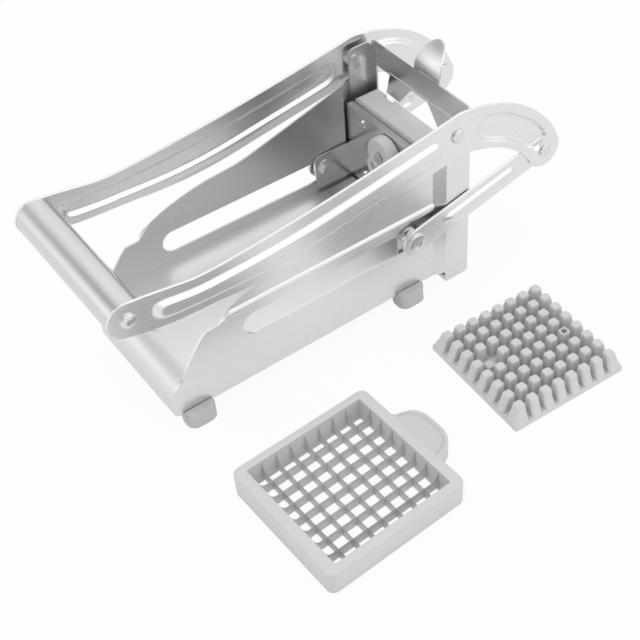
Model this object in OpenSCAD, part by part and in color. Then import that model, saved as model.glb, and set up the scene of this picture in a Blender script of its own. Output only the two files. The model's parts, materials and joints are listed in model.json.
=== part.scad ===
// Hand-lever fry cutter with a spare blade frame and a spare pusher block.
// X runs from the handle (minus) to the blades (plus), Y across, Z up from the table.

/* [Frame] */
// Thickness of the frame sheet
sheet_t = 1; // [0.8:0.1:1.5]
// Height of the lower edge of the walls above the table
wall_low_z = 8; // [6:0.5:12]
// Height of the deck that the food lies on
deck_z = 30.5; // [28:0.5:31]
// Distance from the lever pivot forward to the front apron
front_reach = 172; // [165:1:180]
// Outer radius of the bends between apron and walls
bend_r = 3; // [2:0.5:3.5]
// Outer radius of the bend between deck and apron
front_bend_r = 12; // [6:1:14]
// Rise from the deck to the top of the walls beside the uprights
wall_rise = 60; // [56:0.5:62]
// Width of the guide slot in each wall
slot_w = 13; // [10:0.5:14]
// Height of the middle of the guide slot above the deck
slot_rise = 12.5; // [11:0.5:14]
// Distance from the guide slot up to the stiffening bead
bead_rise = 13.5; // [12:0.5:15]
// Width of the stiffening bead
bead_w = 5; // [4:0.5:6]
// How far the stiffening bead stands out
bead_h = 1.2; // [0.8:0.1:1.6]
// Width of the rib along the deck
deck_rib_w = 5; // [3:0.5:8]
// Height of the rib along the deck
deck_rib_h = 0.8; // [0.5:0.1:1]

/* [Blade pocket] */
// How far the pocket panels stand outside the walls
joggle = 2.5; // [2:0.1:3]
// Distance from the pivot forward to the pocket
pocket_front = 4; // [3:0.5:6]
// Length of the sloping sheet between wall and pocket
joggle_run = 7; // [5:0.5:8]
// Height of the lower edge of the pocket panels
panel_low_z = 1; // [0.6:0.2:3]
// How far the uprights stand above the mounted blade frame
upright_over = 26.6; // [24:0.2:30]
// Radius of the top corners of the uprights
upright_r = 4; // [2:0.5:5]
// Width of the flanges behind the blade frame
flange_w = 6; // [4:0.5:8]
// Height of the seat of the blade frame
sill_z = 4.4; // [4:0.2:5]
// Depth of the lips under the seat
sill_lip = 2; // [1:0.2:2.4]
// Height of the crossbar
crossbar_h = 15; // [12:0.5:16]
// Distance from the middle to the inner edge of each tongue at its root
tongue_in_y = 6.6; // [5:0.2:9]
// Distance from the middle to the outer edge of each tongue at its root
tongue_out_y = 25; // [22:0.5:27]
// Distance from the middle to the middle of each tip
tongue_tip_y = 22.6; // [20:0.2:24]
// Width of each tongue at its tip
tongue_tip_w = 11.6; // [8:0.2:13]
// Width of the thumb tab on top of the crossbar
thumb_tab_w = 20; // [16:1:24]
// Height of the thumb tab
thumb_tab_h = 17.5; // [12:0.5:20]
// How far the top of the thumb tab leans back
thumb_tab_lean = 6.5; // [4:0.5:9]
// How far the thumb tab stands to the near side
thumb_tab_y = 6; // [0:0.5:8]

/* [Lever] */
// Distance from the top of the uprights down to the lever pivot
pivot_down = 8; // [7:0.5:10]
// Distance from the pivot forward to the handle tube
handle_reach = 186; // [180:1:190]
// How far the handle tube lies below the pivot with the lever down
handle_drop = 10.4; // [8:0.2:12]
// Depth of the lever arms at the pivot
arm_h = 26.5; // [25:0.5:28]
// Thickness of the lever arms
arm_t = 1.4; // [1.2:0.1:1.6]
// Radius of the arms around the handle
handle_end_r = 9.9; // [9.6:0.1:11]
// Radius of the handle tube
tube_r = 9.6; // [8:0.1:9.9]
// Wall of the handle tube
tube_wall = 1.2; // [0.8:0.1:2]
// Radius of the rod through the handle tube
rod_r = 2.5; // [2:0.1:3]
// Distance from the pivot back to the link rivet
link_dx = 61.3; // [60:0.5:63]
// Distance from the pivot down to the link rivet
link_dz = 38; // [36:0.5:40]
// Radius of the arms around the link rivet
link_end_r = 10.6; // [10:0.1:11.5]
// Radius of the pivot rivets
pivot_r = 3; // [2.5:0.1:3.5]
// Radius of the rivet heads
rivet_head_r = 3.9; // [3.6:0.1:5.5]
// Height of the rivet heads
rivet_head_h = 1.6; // [1:0.1:2]
// How far the long rib stands out of each arm
arm_rib_h = 1.2; // [0.8:0.1:1.5]
// Depth of the recess in the bent end of each arm
recess_d = 0.5; // [0.3:0.1:0.7]

/* [Links] */
// Half of the width of the link bars
link_half = 8; // [7:0.5:9]
// Thickness of the link bars
link_t = 1.5; // [1.2:0.1:1.8]
// Width of the rib along each link bar
link_rib_w = 5; // [3:0.5:8]
// Radius of the studs through the links
stud_r = 3; // [2.5:0.1:3.5]
// Radius of the stud heads
stud_head_r = 5.6; // [5:0.1:6.4]
// Height of the stud heads
stud_head_h = 1.6; // [1.2:0.1:2]
// Distance from the pivot forward to the studs with the lever down
stud_dx = 25.5; // [25:0.5:27]
// Distance that the pusher travels
carriage_travel = 96.5; // [90:0.5:97]

/* [Pusher] */
// Gap between the deck and the carriage plate
carriage_lift = 1.5; // [1.2:0.1:2]
// Gap between the pusher block and the lip of the carriage plate
lip_gap = 1.2; // [0.6:0.1:2]
// Distance from the pivot forward to the back of the carriage plate
carriage_dx = 8; // [7.5:0.5:9]
// Length of the carriage cheeks along the walls
cheek_len = 24; // [22:0.5:26]
// Height of the carriage cheeks
cheek_h = 21; // [19:0.5:23]
// How far the cheeks stay above the lower edge of the carriage plate
cheek_lift = 0.5; // [0.2:0.1:1]
// Gap between the cheeks and the walls
cheek_gap = 0.5; // [0.3:0.1:0.8]
// Thickness of the pusher block plate
block_t = 3; // [2:0.1:3.2]
// Length of the pins of the mounted pusher block
pin_len = 11; // [9:0.5:12]
// Radius of the rivets through the carriage plate
block_rivet_r = 1.5; // [1:0.1:2]
// Radius of the pin of the thumb turn
turn_pin_r = 1.8; // [1.5:0.1:3]
// Radius of the disc of the thumb turn
turn_r = 10.5; // [8:0.5:11]
// Thickness of the thumb turn
turn_t = 7; // [5:0.5:9]
// Radius of the ring of the thumb turn
turn_ring_r = 7; // [6:0.5:7.5]
// Distance from the disc to the ring of the thumb turn
turn_reach = 15.5; // [14:0.5:17]

/* [Blade frames] */
// Rims of the mounted blade frame above and below the opening
end_rim = 5.1; // [4:0.1:7]
// Rims of the mounted blade frame beside the opening
side_rim = 3.6; // [3:0.1:5]
// Gap between the mounted blade frame and the pocket panels
pocket_gap = 3.3; // [2.6:0.1:4]
// Thickness of the mounted blade frame
insert_t = 13.7; // [13:0.1:14]
// Side of the square opening
opening = 66.8; // [60:0.2:68]
// Thickness of the blades
blade_t = 0.6; // [0.4:0.1:0.8]
// Depth of each layer of blades
blade_d = 5.5; // [4:0.5:6]
// Cells along each side of the mounted blade frame
coarse_n = 6; // [6:1:6]
// Cells along each side of the loose blade frame
fine_n = 8; // [7:1:9]
// Corner radius of the blade frames
insert_r = 4; // [2:0.5:6]
// Radius of the notches in the mounted blade frame
notch_r = 4; // [3:0.5:5]
// Depth of the loose blade frame
loose_t = 15; // [13:0.5:16]
// Rims of the loose blade frame at the side of the finger tab and opposite
loose_end_rim = 6.1; // [5:0.1:8]
// Rims of the loose blade frame at the other two sides
loose_side_rim = 4.6; // [4:0.1:6]
// Length of the finger tab
tab_len = 14.2; // [10:0.2:18]
// Half of the width of the finger tab at its root
tab_half = 20; // [16:0.5:22]
// Thickness of the finger tab
tab_t = 12; // [8:0.5:13]

/* [Feet] */
// Length of the feet along the walls
foot_len = 16; // [12:1:20]
// Width of the feet on the table
foot_w = 13.6; // [10:0.2:14]
// How far each wall sinks into its foot
foot_slit = 1.5; // [1:0.1:2.5]
// Distance from the front apron to the front feet
foot_front_in = 4; // [3.5:0.5:8]
// Distance from the pivot forward to the rear feet
foot_rear_dx = 20; // [16:0.5:24]

/* [Loose parts on the table] */
// Distance from the pivot forward to the middle of the loose blade frame
loose_frame_dx = 131; // [120:1:140]
// Distance from the middle plane to the middle of the loose blade frame
loose_frame_dy = 124.3; // [110:0.1:140]
// Turn of the loose blade frame in degrees
loose_frame_turn = 2; // [0:0.5:10]
// Distance from the pivot forward to the middle of the loose pusher block
loose_block_dx = 8.4; // [0:0.1:20]
// Distance from the middle plane to the middle of the loose pusher block
loose_block_dy = 112.2; // [100:0.1:130]
// Turn of the loose pusher block in degrees
loose_block_turn = 3; // [0:0.5:10]
// Side of the square plate of the loose pusher block
loose_plate = 70; // [67:0.5:72]
// Thickness of the plate of the loose pusher block
loose_plate_t = 3; // [2:0.1:4]
// Length of the pins of the loose pusher block
loose_pin_len = 9.5; // [8:0.5:14]
// Gap between the pins of the loose pusher block
loose_pin_gap = 2.6; // [1:0.1:3]

/* [Hidden] */

steel = "gainsboro";
brushed = "silver";
plastic = "whitesmoke";
rubber = "dimgray";

round_fn = 64;
small_fn = 32;
curve_steps = 3;
overrun = 1;

// Clearances: running fit of a pin, play between moving sheets, play around seated parts
fit_gap = 0.05;
side_gap = 0.4;
seat_gap = 0.3;

// Blade frames round the opening
insert_h = opening + end_rim * 2;
insert_w = opening + side_rim * 2;
loose_h = opening + loose_end_rim * 2;
loose_w = opening + loose_side_rim * 2;

// Layers outward from the middle plane
panel_in = insert_w / 2 + pocket_gap;
panel_out = panel_in + sheet_t;
wall_y = panel_out - joggle;
wall_in = wall_y - sheet_t;
link_in = panel_out + side_gap;
link_out = link_in + link_t;
arm_in = link_out + side_gap;
arm_out = arm_in + arm_t;
head_out = arm_out + rivet_head_h;
cheek_out = wall_in - cheek_gap;
cheek_in = cheek_out - sheet_t;

// Stations along the cutter, measured from the pivot
front_x = -front_reach;
corner_x = front_x + bend_r;
bend_x = front_x + front_bend_r;
joggle_x = -pocket_front - joggle_run;
pocket_x = -pocket_front;
insert_x = pocket_x + seat_gap;
flange_x = insert_x + insert_t + seat_gap;
panel_x = flange_x + sheet_t;
wall_len = joggle_x - front_x;
bush_r = slot_w / 2 - side_gap / 4;
stud_x = -stud_dx;
slot_rear_x = stud_x + side_gap;
slot_front_x = stud_x - carriage_travel - side_gap;
plate_x = -carriage_dx;
plate_front_x = plate_x - sheet_t;
insert_mid_z = sill_z + insert_h / 2;
insert_top_z = sill_z + insert_h;
upright_z = insert_top_z + upright_over;
pivot_z = upright_z - pivot_down;
slot_z = deck_z + slot_rise;
bead_z = slot_z + bead_rise;
carriage_low = deck_z + carriage_lift;
carriage_top = insert_mid_z + opening / 2 + lip_gap + sheet_t;
handle_x = -handle_reach;
handle_z = pivot_z - handle_drop;
rivet_x = link_dx;
rivet_z = pivot_z - link_dz;
link_len = norm([rivet_x - stud_x, rivet_z - slot_z]);
link_turn = atan2(rivet_z - slot_z, rivet_x - stud_x);
coarse_pitch = opening / coarse_n;
fine_pitch = opening / fine_n;
// Only the rows of pins above the deck can pass into the cells
pin_rows = floor((insert_mid_z + opening / 2 - deck_z - seat_gap) / coarse_pitch);

// The origin is under the middle of the box over everything
box_x0 = handle_x - handle_end_r;
box_x1 = rivet_x + link_end_r;
turned_y = loose_h / 2 * sin(loose_frame_turn) + loose_w / 2 * cos(loose_frame_turn);
corner_cut = insert_r * (sin(loose_frame_turn) + cos(loose_frame_turn) - 1);
box_y0 = -loose_frame_dy - turned_y + corner_cut;
box_y1 = head_out;
mid_x = (box_x0 + box_x1) / 2;
mid_y = (box_y0 + box_y1) / 2;

// Outlines, as shares of the named lengths
arm_top_shares = [
    [-0.946, -0.068], [-0.887, -0.136], [-0.817, -0.212], [-0.753, -0.213], [-0.645, -0.155],
    [-0.554, -0.09], [-0.457, -0.015], [-0.323, 0.112], [-0.161, 0.285], [-0.027, 0.442]
];
arm_low_shares = [
    [-0.946, -0.868], [-0.887, -0.928], [-0.817, -0.962], [-0.753, -0.985], [-0.645, -1.042],
    [-0.554, -1.049], [-0.457, -1], [-0.323, -0.86], [-0.161, -0.687], [-0.027, -0.543]
];
neck_out_shares = [
    [0.033, 0.337], [0.173, 0.313], [0.281, 0.274], [0.388, 0.221], [0.532, 0.129], [0.669, 0.011],
    [0.786, -0.124], [0.909, -0.3], [1.038, -0.532], [1.122, -0.75]
];
neck_in_shares = [
    [0.825, -1.053], [0.765, -0.926], [0.69, -0.795], [0.582, -0.661], [0.467, -0.547],
    [0.352, -0.466], [0.241, -0.411], [0.111, -0.361]
];
recess_shares = [
    [0.225, -0.121], [0.238, 0.016], [0.3, 0.071], [0.4, 0.05], [0.504, -0.005], [0.641, -0.132],
    [0.736, -0.242], [0.856, -0.397], [0.985, -0.647], [1, -0.768], [0.959, -0.9], [0.883, -0.924],
    [0.759, -0.747], [0.636, -0.595], [0.519, -0.468], [0.351, -0.347], [0.251, -0.247]
];
nose_shares = [
    [0.047, 0], [0.052, 0.042], [0.062, 0.092], [0.081, 0.163], [0.099, 0.233], [0.121, 0.308],
    [0.143, 0.368]
];
hump_shares = [
    [0.193, 0.375], [0.202, 0.405], [0.219, 0.45], [0.239, 0.492], [0.28, 0.542], [0.318, 0.58],
    [0.357, 0.608], [0.398, 0.635], [0.435, 0.655], [0.472, 0.668], [0.547, 0.683], [0.586, 0.697],
    [0.625, 0.72], [0.671, 0.753], [0.77, 0.825], [0.882, 0.908], [1, 1]
];
// Where the long rib lies between the lower and the upper edge of an arm, and its upper step
rib_low_share = 0.3;
rib_top_share = 0.66;
rib_step_share = 0.07;
rib_step_h_share = 0.6;
// Where the rib of a link bar begins and ends along it
link_rib_start_share = 0.25;
link_rib_end_share = 0.74;
// Half section of the stiffening bead: distance from its middle, and height
bead_shares = [[0.5, 0], [0.35, 0.7], [0.15, 1]];
// Where bead and deck rib begin along the wall
bead_start_share = 0.165;
deck_rib_start_share = 0.1;
// Heads of rivets: edge radius, rim height, flat top
head_edge_share = 0.5;
head_rim_share = 0.3;
head_flat_share = 0.4;
// Sunk middle of the stud heads
stud_sink_share = 0.5;
// Shoulders of the feet
foot_slope_share = 0.12;
// Inner nuts and their washers
nut_r_share = 1.6;
nut_h_share = 0.8;
// Places of rivets and turn on the carriage plate
turn_place_share = 0.77;
rivet_side_share = 0.36;
rivet_edge_share = 0.13;
block_rivet_head_share = 1.5;
turn_head_share = 1.6;
// Thickness of the ring of the thumb turn, and its hole
ring_t_share = 0.6;
ring_hole_share = 0.5;
// Outline of the finger tab: length outward, half width
tab_shares = [
    [0, 1], [0.07, 0.94], [0.14, 0.85], [0.25, 0.78], [0.45, 0.74], [0.66, 0.72], [0.84, 0.67], [0.95, 0.57],
    [1, 0.4]
];

function between(a, b, share) = a + (b - a) * share;
// Smooth curve through points
function through(a, b, c, d, t) =
    (b * 2 + (c - a) * t + (a * 2 - b * 5 + c * 4 - d) * t * t + (b * 3 - a - c * 3 + d) * t * t * t) / 2;
function curve(p) = [
    for (i = [0:len(p) - 2], j = [0:curve_steps - 1])
        through(p[max(i - 1, 0)], p[i], p[i + 1], p[min(i + 2, len(p) - 1)], j / curve_steps),
    p[len(p) - 1]
];
function back(p) = [for (i = [len(p) - 1:-1:0]) p[i]];
function arc(c, r, a0, a1, n) = [
    for (i = [0:n]) c + r * [cos(between(a0, a1, i / n)), sin(between(a0, a1, i / n))]
];
// Upper half of an ellipse on its base
function arc_tall(half, h, n) = [for (i = [0:n]) [half * cos(180 * i / n), h * sin(180 * i / n)]];
function arm_points(shares) = [for (s = shares) [s[0] * handle_reach, pivot_z + s[1] * arm_h]];
function neck_points(shares) = [for (s = shares) [s[0] * link_dx, pivot_z + s[1] * link_dz]];
function wall_points(shares) = [for (s = shares) [front_x + s[0] * wall_len, deck_z + s[1] * wall_rise]];

// Everything is drawn from the pivot and then moved to the origin
module placed() translate([-mid_x, -mid_y, 0]) children();
module box(x0, x1, y0, y1, z0, z1) translate([x0, y0, z0]) cube([x1 - x0, y1 - y0, z1 - z0]);
module side_box(side, x0, x1, y0, y1, z0, z1)
    box(x0, x1, min(side * y0, side * y1), max(side * y0, side * y1), z0, z1);
// Plate that stands along X, from an outline in X and Z
module plate(side, y0, y1)
    translate([0, max(side * y0, side * y1), 0]) rotate([90, 0, 0]) linear_extrude(y1 - y0) children();
// Plate that stands across X, from an outline in Y and Z
module cross_plate(x0, x1) translate([x0, 0, 0]) rotate([90, 0, 90]) linear_extrude(x1 - x0) children();
// Round bar along Y
module side_rod(side, x, z, r, y0, y1)
    translate([x, min(side * y0, side * y1), z]) rotate([-90, 0, 0])
        cylinder(r = r, h = y1 - y0, $fn = round_fn);
// Domed head that faces outward along Y
module side_head(side, x, z, r, h, y0)
    translate([x, side * y0, z]) rotate([-side * 90, 0, 0]) rotate_extrude($fn = round_fn)
        polygon(concat(
            [[0, 0], [r, 0]],
            arc([r - h * head_edge_share, h * head_rim_share], h * head_edge_share, 0, 70, 4),
            [[r * head_flat_share, h], [0, h]]
        ));

// Frame

relief_x = front_x + nose_shares[0][0] * wall_len;
// Angle on the front bend at a station
function bend_turn(x) = acos((x - bend_x) / front_bend_r);
module wall_outline() {
    polygon(concat(
        [[corner_x, wall_low_z], [joggle_x, wall_low_z]],
        back(curve(wall_points(hump_shares))),
        back(curve(wall_points(nose_shares))),
        arc([bend_x, deck_z - front_bend_r], front_bend_r, bend_turn(relief_x), bend_turn(corner_x), 3)
    ));
}

module guide_slot(side) {
    side_rod(side, slot_front_x, slot_z, slot_w / 2, wall_in - overrun, wall_y + overrun);
    side_rod(side, slot_rear_x, slot_z, slot_w / 2, wall_in - overrun, wall_y + overrun);
    side_box(side, slot_front_x, slot_rear_x, wall_in - overrun, wall_y + overrun,
        slot_z - slot_w / 2, slot_z + slot_w / 2);
}

// Bead along the wall, cut off by the outline of the wall
bead_start = front_x + wall_len * bead_start_share;
module bead(side) {
    intersection() {
        translate([bead_start, 0, 0]) rotate([90, 0, 90]) linear_extrude(joggle_x - bead_start)
            polygon(concat(
                [for (s = bead_shares) [side * (wall_y + s[1] * bead_h), bead_z - s[0] * bead_w]],
                back([for (s = bead_shares) [side * (wall_y + s[1] * bead_h), bead_z + s[0] * bead_w]])
            ));
        plate(side, wall_y, wall_y + bead_h) wall_outline();
    }
}

module upright_outline() {
    polygon(concat(
        [[pocket_x, panel_low_z], [panel_x, panel_low_z]],
        arc([panel_x - upright_r, upright_z - upright_r], upright_r, 0, 90, 6),
        arc([pocket_x + upright_r, upright_z - upright_r], upright_r, 90, 180, 6)
    ));
}

module side_sheet(side) {
    color(brushed) placed() union() {
        difference() {
            plate(side, wall_in, wall_y) wall_outline();
            guide_slot(side);
        }
        bead(side);
        translate([0, 0, wall_low_z]) linear_extrude(deck_z + wall_rise - wall_low_z)
            polygon([
                [joggle_x, side * wall_in], [joggle_x, side * wall_y],
                [pocket_x, side * panel_out], [pocket_x, side * panel_in]
            ]);
        difference() {
            plate(side, panel_in, panel_out) upright_outline();
            side_rod(side, 0, pivot_z, pivot_r, panel_in - overrun, panel_out + overrun);
        }
        side_box(side, flange_x, panel_x, panel_out - flange_w, panel_in, panel_low_z, upright_z - upright_r);
    }
}
module near_side() side_sheet(-1);
module far_side() side_sheet(1);

// Block with the bent front of the sheet, smaller all round by inset
apron_half = wall_y - bend_r;
module front_block(inset, low) {
    intersection() {
        union() {
            side_rod(1, bend_x, deck_z - front_bend_r, front_bend_r - inset, -wall_y, wall_y);
            box(front_x + inset, bend_x + inset, -wall_y, wall_y, low, deck_z - front_bend_r);
        }
        union() {
            for (side = [-1, 1]) translate([corner_x, side * apron_half, low])
                cylinder(r = bend_r - inset, h = deck_z - low, $fn = round_fn);
            box(front_x + inset, corner_x, -apron_half, apron_half, low, deck_z);
            box(corner_x, bend_x + inset, inset - wall_y, wall_y - inset, low, deck_z);
        }
    }
}
module front_apron() {
    color(brushed) placed() difference() {
        front_block(0, wall_low_z);
        front_block(sheet_t, wall_low_z - overrun);
        for (side = [-1, 1])
            side_box(side, corner_x, bend_x + front_bend_r, wall_in, wall_y + overrun,
                wall_low_z - overrun, deck_z + overrun);
        box(bend_x, bend_x + front_bend_r, -wall_y, wall_y, wall_low_z - overrun, deck_z + overrun);
    }
}

rib_start_x = front_x + wall_len * deck_rib_start_share;
module deck() {
    color(steel) placed() union() {
        box(bend_x, pocket_x, -wall_in, wall_in, deck_z - sheet_t, deck_z);
        // Rear fold in front of the blade frame
        box(pocket_x - sheet_t, pocket_x, -wall_in, wall_in, wall_low_z, deck_z - sheet_t);
        // Rib along the middle
        box(rib_start_x, joggle_x, -deck_rib_w / 2, deck_rib_w / 2, deck_z, deck_z + deck_rib_h);
        translate([rib_start_x, 0, deck_z]) cylinder(r = deck_rib_w / 2, h = deck_rib_h, $fn = small_fn);
    }
}

module blade_sill() {
    color(steel) placed() union() {
        box(pocket_x, flange_x, -panel_in, panel_in, sill_z - sheet_t, sill_z);
        box(pocket_x, pocket_x + sheet_t, -panel_in, panel_in, sill_z - sheet_t - sill_lip, sill_z - sheet_t);
        box(flange_x - sheet_t, flange_x, -panel_in, panel_in, sill_z - sheet_t - sill_lip, sill_z - sheet_t);
    }
}

crossbar_top = upright_z + side_gap * 4;
crossbar_low = crossbar_top - crossbar_h;
crossbar_half = panel_out - side_gap;
function tongue_points(side) = let (points = [
    [side * tongue_in_y, crossbar_low + sheet_t], [side * tongue_in_y, crossbar_low],
    [side * (tongue_tip_y - tongue_tip_w / 2), insert_top_z],
    [side * (tongue_tip_y + tongue_tip_w / 2), insert_top_z],
    [side * tongue_out_y, crossbar_low], [side * tongue_out_y, crossbar_low + sheet_t]
]) side > 0 ? points : back(points);
module crossbar() {
    color(steel) placed() cross_plate(panel_x, panel_x + sheet_t) union() {
        polygon(concat(
            [[-crossbar_half, crossbar_low], [crossbar_half, crossbar_low]],
            arc([crossbar_half - upright_r, crossbar_top - upright_r], upright_r, 0, 90, 6),
            arc([upright_r - crossbar_half, crossbar_top - upright_r], upright_r, 90, 180, 6)
        ));
        for (side = [-1, 1]) polygon(tongue_points(side));
    }
}

// Curved sheet on top of the crossbar: part of a tube round Y, cut to a round-ended outline
thumb_tab_turn = 2 * atan2(thumb_tab_lean, thumb_tab_h);
thumb_tab_r = thumb_tab_h / sin(thumb_tab_turn);
thumb_tab_x = panel_x + thumb_tab_r;
module thumb_tab() {
    color(steel) placed() intersection() {
        difference() {
            side_rod(1, thumb_tab_x, crossbar_top, thumb_tab_r, -crossbar_half, crossbar_half);
            side_rod(1, thumb_tab_x, crossbar_top, thumb_tab_r - sheet_t, -panel_out, panel_out);
        }
        cross_plate(panel_x, panel_x + thumb_tab_lean + sheet_t * 2) translate([-thumb_tab_y, crossbar_top])
            polygon(arc_tall(thumb_tab_w / 2, thumb_tab_h, 10));
    }
}

foot_top_z = wall_low_z + foot_slit;
foot_mid = wall_y - sheet_t / 2;
foot_shoulder = foot_w * (1 / 2 - foot_slope_share) - foot_slit;
module foot(side, x0) {
    color(rubber) placed() difference() {
        translate([x0, side * foot_mid, 0]) rotate([90, 0, 90]) linear_extrude(foot_len) polygon(concat(
            [[-foot_w / 2, foot_slit / 2], [foot_slit / 2 - foot_w / 2, 0]],
            [[foot_w / 2 - foot_slit / 2, 0], [foot_w / 2, foot_slit / 2]],
            arc([foot_shoulder, foot_top_z - foot_slit], foot_slit, 15, 90, 4),
            arc([-foot_shoulder, foot_top_z - foot_slit], foot_slit, 90, 165, 4)
        ));
        side_box(side, x0 - overrun, x0 + foot_len + overrun, wall_in, wall_y,
            wall_low_z, foot_top_z + overrun);
    }
}
module foot_front_near() foot(-1, front_x + foot_front_in);
module foot_front_far() foot(1, front_x + foot_front_in);
module foot_rear_near() foot(-1, -foot_rear_dx - foot_len);
module foot_rear_far() foot(1, -foot_rear_dx - foot_len);

// Rivet through upright and arm: inner head, shank, spacer collar, outer head
module pivot_rivet(side) {
    color(steel) placed() union() {
        side_rod(side, 0, pivot_z, pivot_r, panel_in - sheet_t, arm_out + fit_gap);
        side_rod(side, 0, pivot_z, rivet_head_r, panel_in - sheet_t, panel_in);
        side_rod(side, 0, pivot_z, rivet_head_r, panel_out, arm_in - fit_gap);
        side_head(side, 0, pivot_z, rivet_head_r, rivet_head_h - fit_gap, arm_out + fit_gap);
    }
}
module pivot_rivet_near() pivot_rivet(-1);
module pivot_rivet_far() pivot_rivet(1);

// Lever

module arm_outline() {
    polygon(concat(
        arc([handle_x, handle_z], handle_end_r, 250, 90, 16),
        curve(concat(arm_points(arm_top_shares), neck_points(neck_out_shares))),
        arc([rivet_x, rivet_z], link_end_r, 20, -160, 18),
        curve(concat(neck_points(neck_in_shares), back(arm_points(arm_low_shares))))
    ));
}
// Band between shares of the depth of the arm, for the long rib
module rib_outline(low, top) {
    upper = [for (i = [0:len(arm_top_shares) - 1])
        [arm_top_shares[i][0], between(arm_low_shares[i][1], arm_top_shares[i][1], top)]];
    lower = [for (i = [0:len(arm_top_shares) - 1])
        [arm_top_shares[i][0], between(arm_low_shares[i][1], arm_top_shares[i][1], low)]];
    polygon(concat(curve(arm_points(upper)), back(curve(arm_points(lower)))));
}
module lever_arm(side) {
    color(brushed) placed() difference() {
        union() {
            plate(side, arm_in, arm_out) arm_outline();
            plate(side, arm_out, arm_out + arm_rib_h * rib_step_h_share)
                rib_outline(rib_low_share, rib_top_share);
            plate(side, arm_out + arm_rib_h * rib_step_h_share, arm_out + arm_rib_h)
                rib_outline(rib_low_share + rib_step_share, rib_top_share - rib_step_share);
        }
        plate(side, arm_out - recess_d, arm_out + overrun) polygon(curve(neck_points(recess_shares)));
        side_rod(side, 0, pivot_z, pivot_r + fit_gap, arm_in - overrun, head_out);
        side_rod(side, rivet_x, rivet_z, stud_r, arm_in - overrun, head_out);
        side_rod(side, handle_x, handle_z, rod_r, arm_in - overrun, head_out);
    }
}
module lever_arm_near() lever_arm(-1);
module lever_arm_far() lever_arm(1);

module handle_tube() {
    color(steel) placed() difference() {
        side_rod(1, handle_x, handle_z, tube_r, -arm_in, arm_in);
        side_rod(1, handle_x, handle_z, tube_r - tube_wall, -arm_in - overrun, arm_in + overrun);
    }
}
module handle_rod() {
    color(steel) placed() union() {
        side_rod(1, handle_x, handle_z, rod_r, -arm_out, arm_out);
        for (side = [-1, 1])
            side_rod(side, handle_x, handle_z, tube_r - tube_wall, arm_in - sheet_t * 2, arm_in);
    }
}
module handle_cap(side) {
    color(steel) placed() side_head(side, handle_x, handle_z, rivet_head_r, rivet_head_h, arm_out);
}
module handle_cap_near() handle_cap(-1);
module handle_cap_far() handle_cap(1);

// The rivet is fixed in the arm and the link bar turns on it
module link_rivet(side) {
    color(steel) placed() union() {
        side_rod(side, rivet_x, rivet_z, stud_r, link_in, arm_out);
        side_rod(side, rivet_x, rivet_z, rivet_head_r, link_out + fit_gap, arm_in);
        side_head(side, rivet_x, rivet_z, rivet_head_r, rivet_head_h, arm_out);
    }
}
module link_rivet_near() link_rivet(-1);
module link_rivet_far() link_rivet(1);

// Links

// Bar with round ends, in line with the link, between two stations along it
module link_outline(x0, x1, r) {
    polygon(concat(arc([x0, 0], r, 90, 270, 12), arc([x1, 0], r, -90, 90, 12)));
}
module along_link(side, y0, y1)
    translate([stud_x, 0, slot_z]) rotate([0, -link_turn, 0]) plate(side, y0, y1) children();
module link_bar(side) {
    color(brushed) placed() difference() {
        union() {
            along_link(side, link_in, link_out) link_outline(0, link_len, link_half);
            along_link(side, link_out, link_out + bead_h)
                link_outline(link_len * link_rib_start_share, link_len * link_rib_end_share, link_rib_w / 2);
        }
        side_rod(side, stud_x, slot_z, stud_r, link_in - overrun, link_out + overrun);
        side_rod(side, rivet_x, rivet_z, stud_r + fit_gap, link_in - overrun, link_out + overrun);
    }
}
module link_bar_near() link_bar(-1);
module link_bar_far() link_bar(1);

// Ring head with a sunk middle; the shank ends flush with the back of the bar
module link_stud(side) {
    color(steel) placed() difference() {
        union() {
            side_rod(side, stud_x, slot_z, stud_r, link_in, link_out);
            side_head(side, stud_x, slot_z, stud_head_r, stud_head_h, link_out);
        }
        side_rod(side, stud_x, slot_z, stud_r,
            link_out + stud_head_h * stud_sink_share, link_out + stud_head_h + overrun);
    }
}
module link_stud_near() link_stud(-1);
module link_stud_far() link_stud(1);

// Pusher carriage

cheek_low = carriage_low + cheek_lift;
cheek_top = cheek_low + cheek_h;
cheek_front_x = plate_front_x - cheek_len;
nut_r = stud_r * nut_r_share;
nut_h = stud_r * nut_h_share;
washer_r = slot_w / 2;
module cheek(side) {
    side_box(side, cheek_front_x + bend_r, plate_front_x, cheek_in, cheek_out, cheek_low, cheek_top);
    side_box(side, cheek_front_x, plate_front_x, cheek_in, cheek_out, cheek_low + bend_r, cheek_top - bend_r);
    side_rod(side, cheek_front_x + bend_r, cheek_low + bend_r, bend_r, cheek_in, cheek_out);
    side_rod(side, cheek_front_x + bend_r, cheek_top - bend_r, bend_r, cheek_in, cheek_out);
}
module through_plate(y, z, r)
    translate([plate_front_x - overrun, y, z]) rotate([0, 90, 0])
        cylinder(r = r, h = sheet_t + 2 * overrun, $fn = small_fn);
module carriage() {
    color(steel) placed() difference() {
        union() {
            box(plate_front_x, plate_x, -cheek_out, cheek_out, carriage_low, carriage_top);
            box(plate_x, plate_x + block_t, -cheek_out, cheek_out, carriage_top - sheet_t, carriage_top);
            cheek(-1);
            cheek(1);
        }
        for (side = [-1, 1]) side_rod(side, stud_x, slot_z, stud_r, cheek_in - overrun, cheek_out + overrun);
        for (at = rivet_places) through_plate(at[0], at[1], block_rivet_r);
        through_plate(0, turn_z, turn_pin_r);
    }
}

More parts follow.
